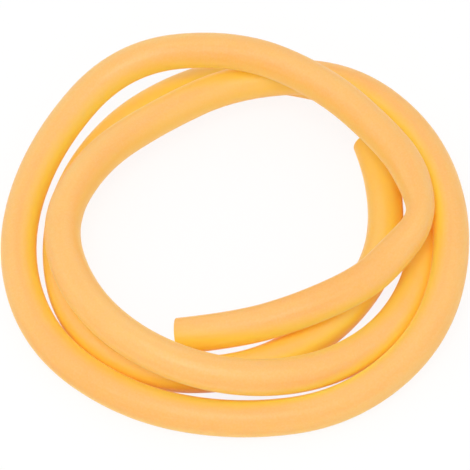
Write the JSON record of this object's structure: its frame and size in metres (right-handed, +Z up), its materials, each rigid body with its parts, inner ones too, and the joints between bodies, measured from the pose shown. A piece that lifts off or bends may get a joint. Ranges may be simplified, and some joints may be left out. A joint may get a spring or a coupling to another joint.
{
  "type": "rubber tubing coil",
  "caption": "Length of soft amber rubber tubing for laboratory use, cut square at both ends and lying in a loose coil; carries liquid, gas or vacuum between barbed fittings.",
  "frame": {"origin": "on the surface that the coil lies on, under the middle of its box", "axes": "+Z up from the surface, +X to the right and +Y away from a viewer who faces the near end of the tube"},
  "size_m": [0.117, 0.1142, 0.0265],
  "materials": {
    "natural_rubber": "satin, slightly translucent, with a faint powder bloom"
  },
  "bodies": {
    "root": {"rubber_tube": "natural_rubber"}
  },
  "joints": []
}
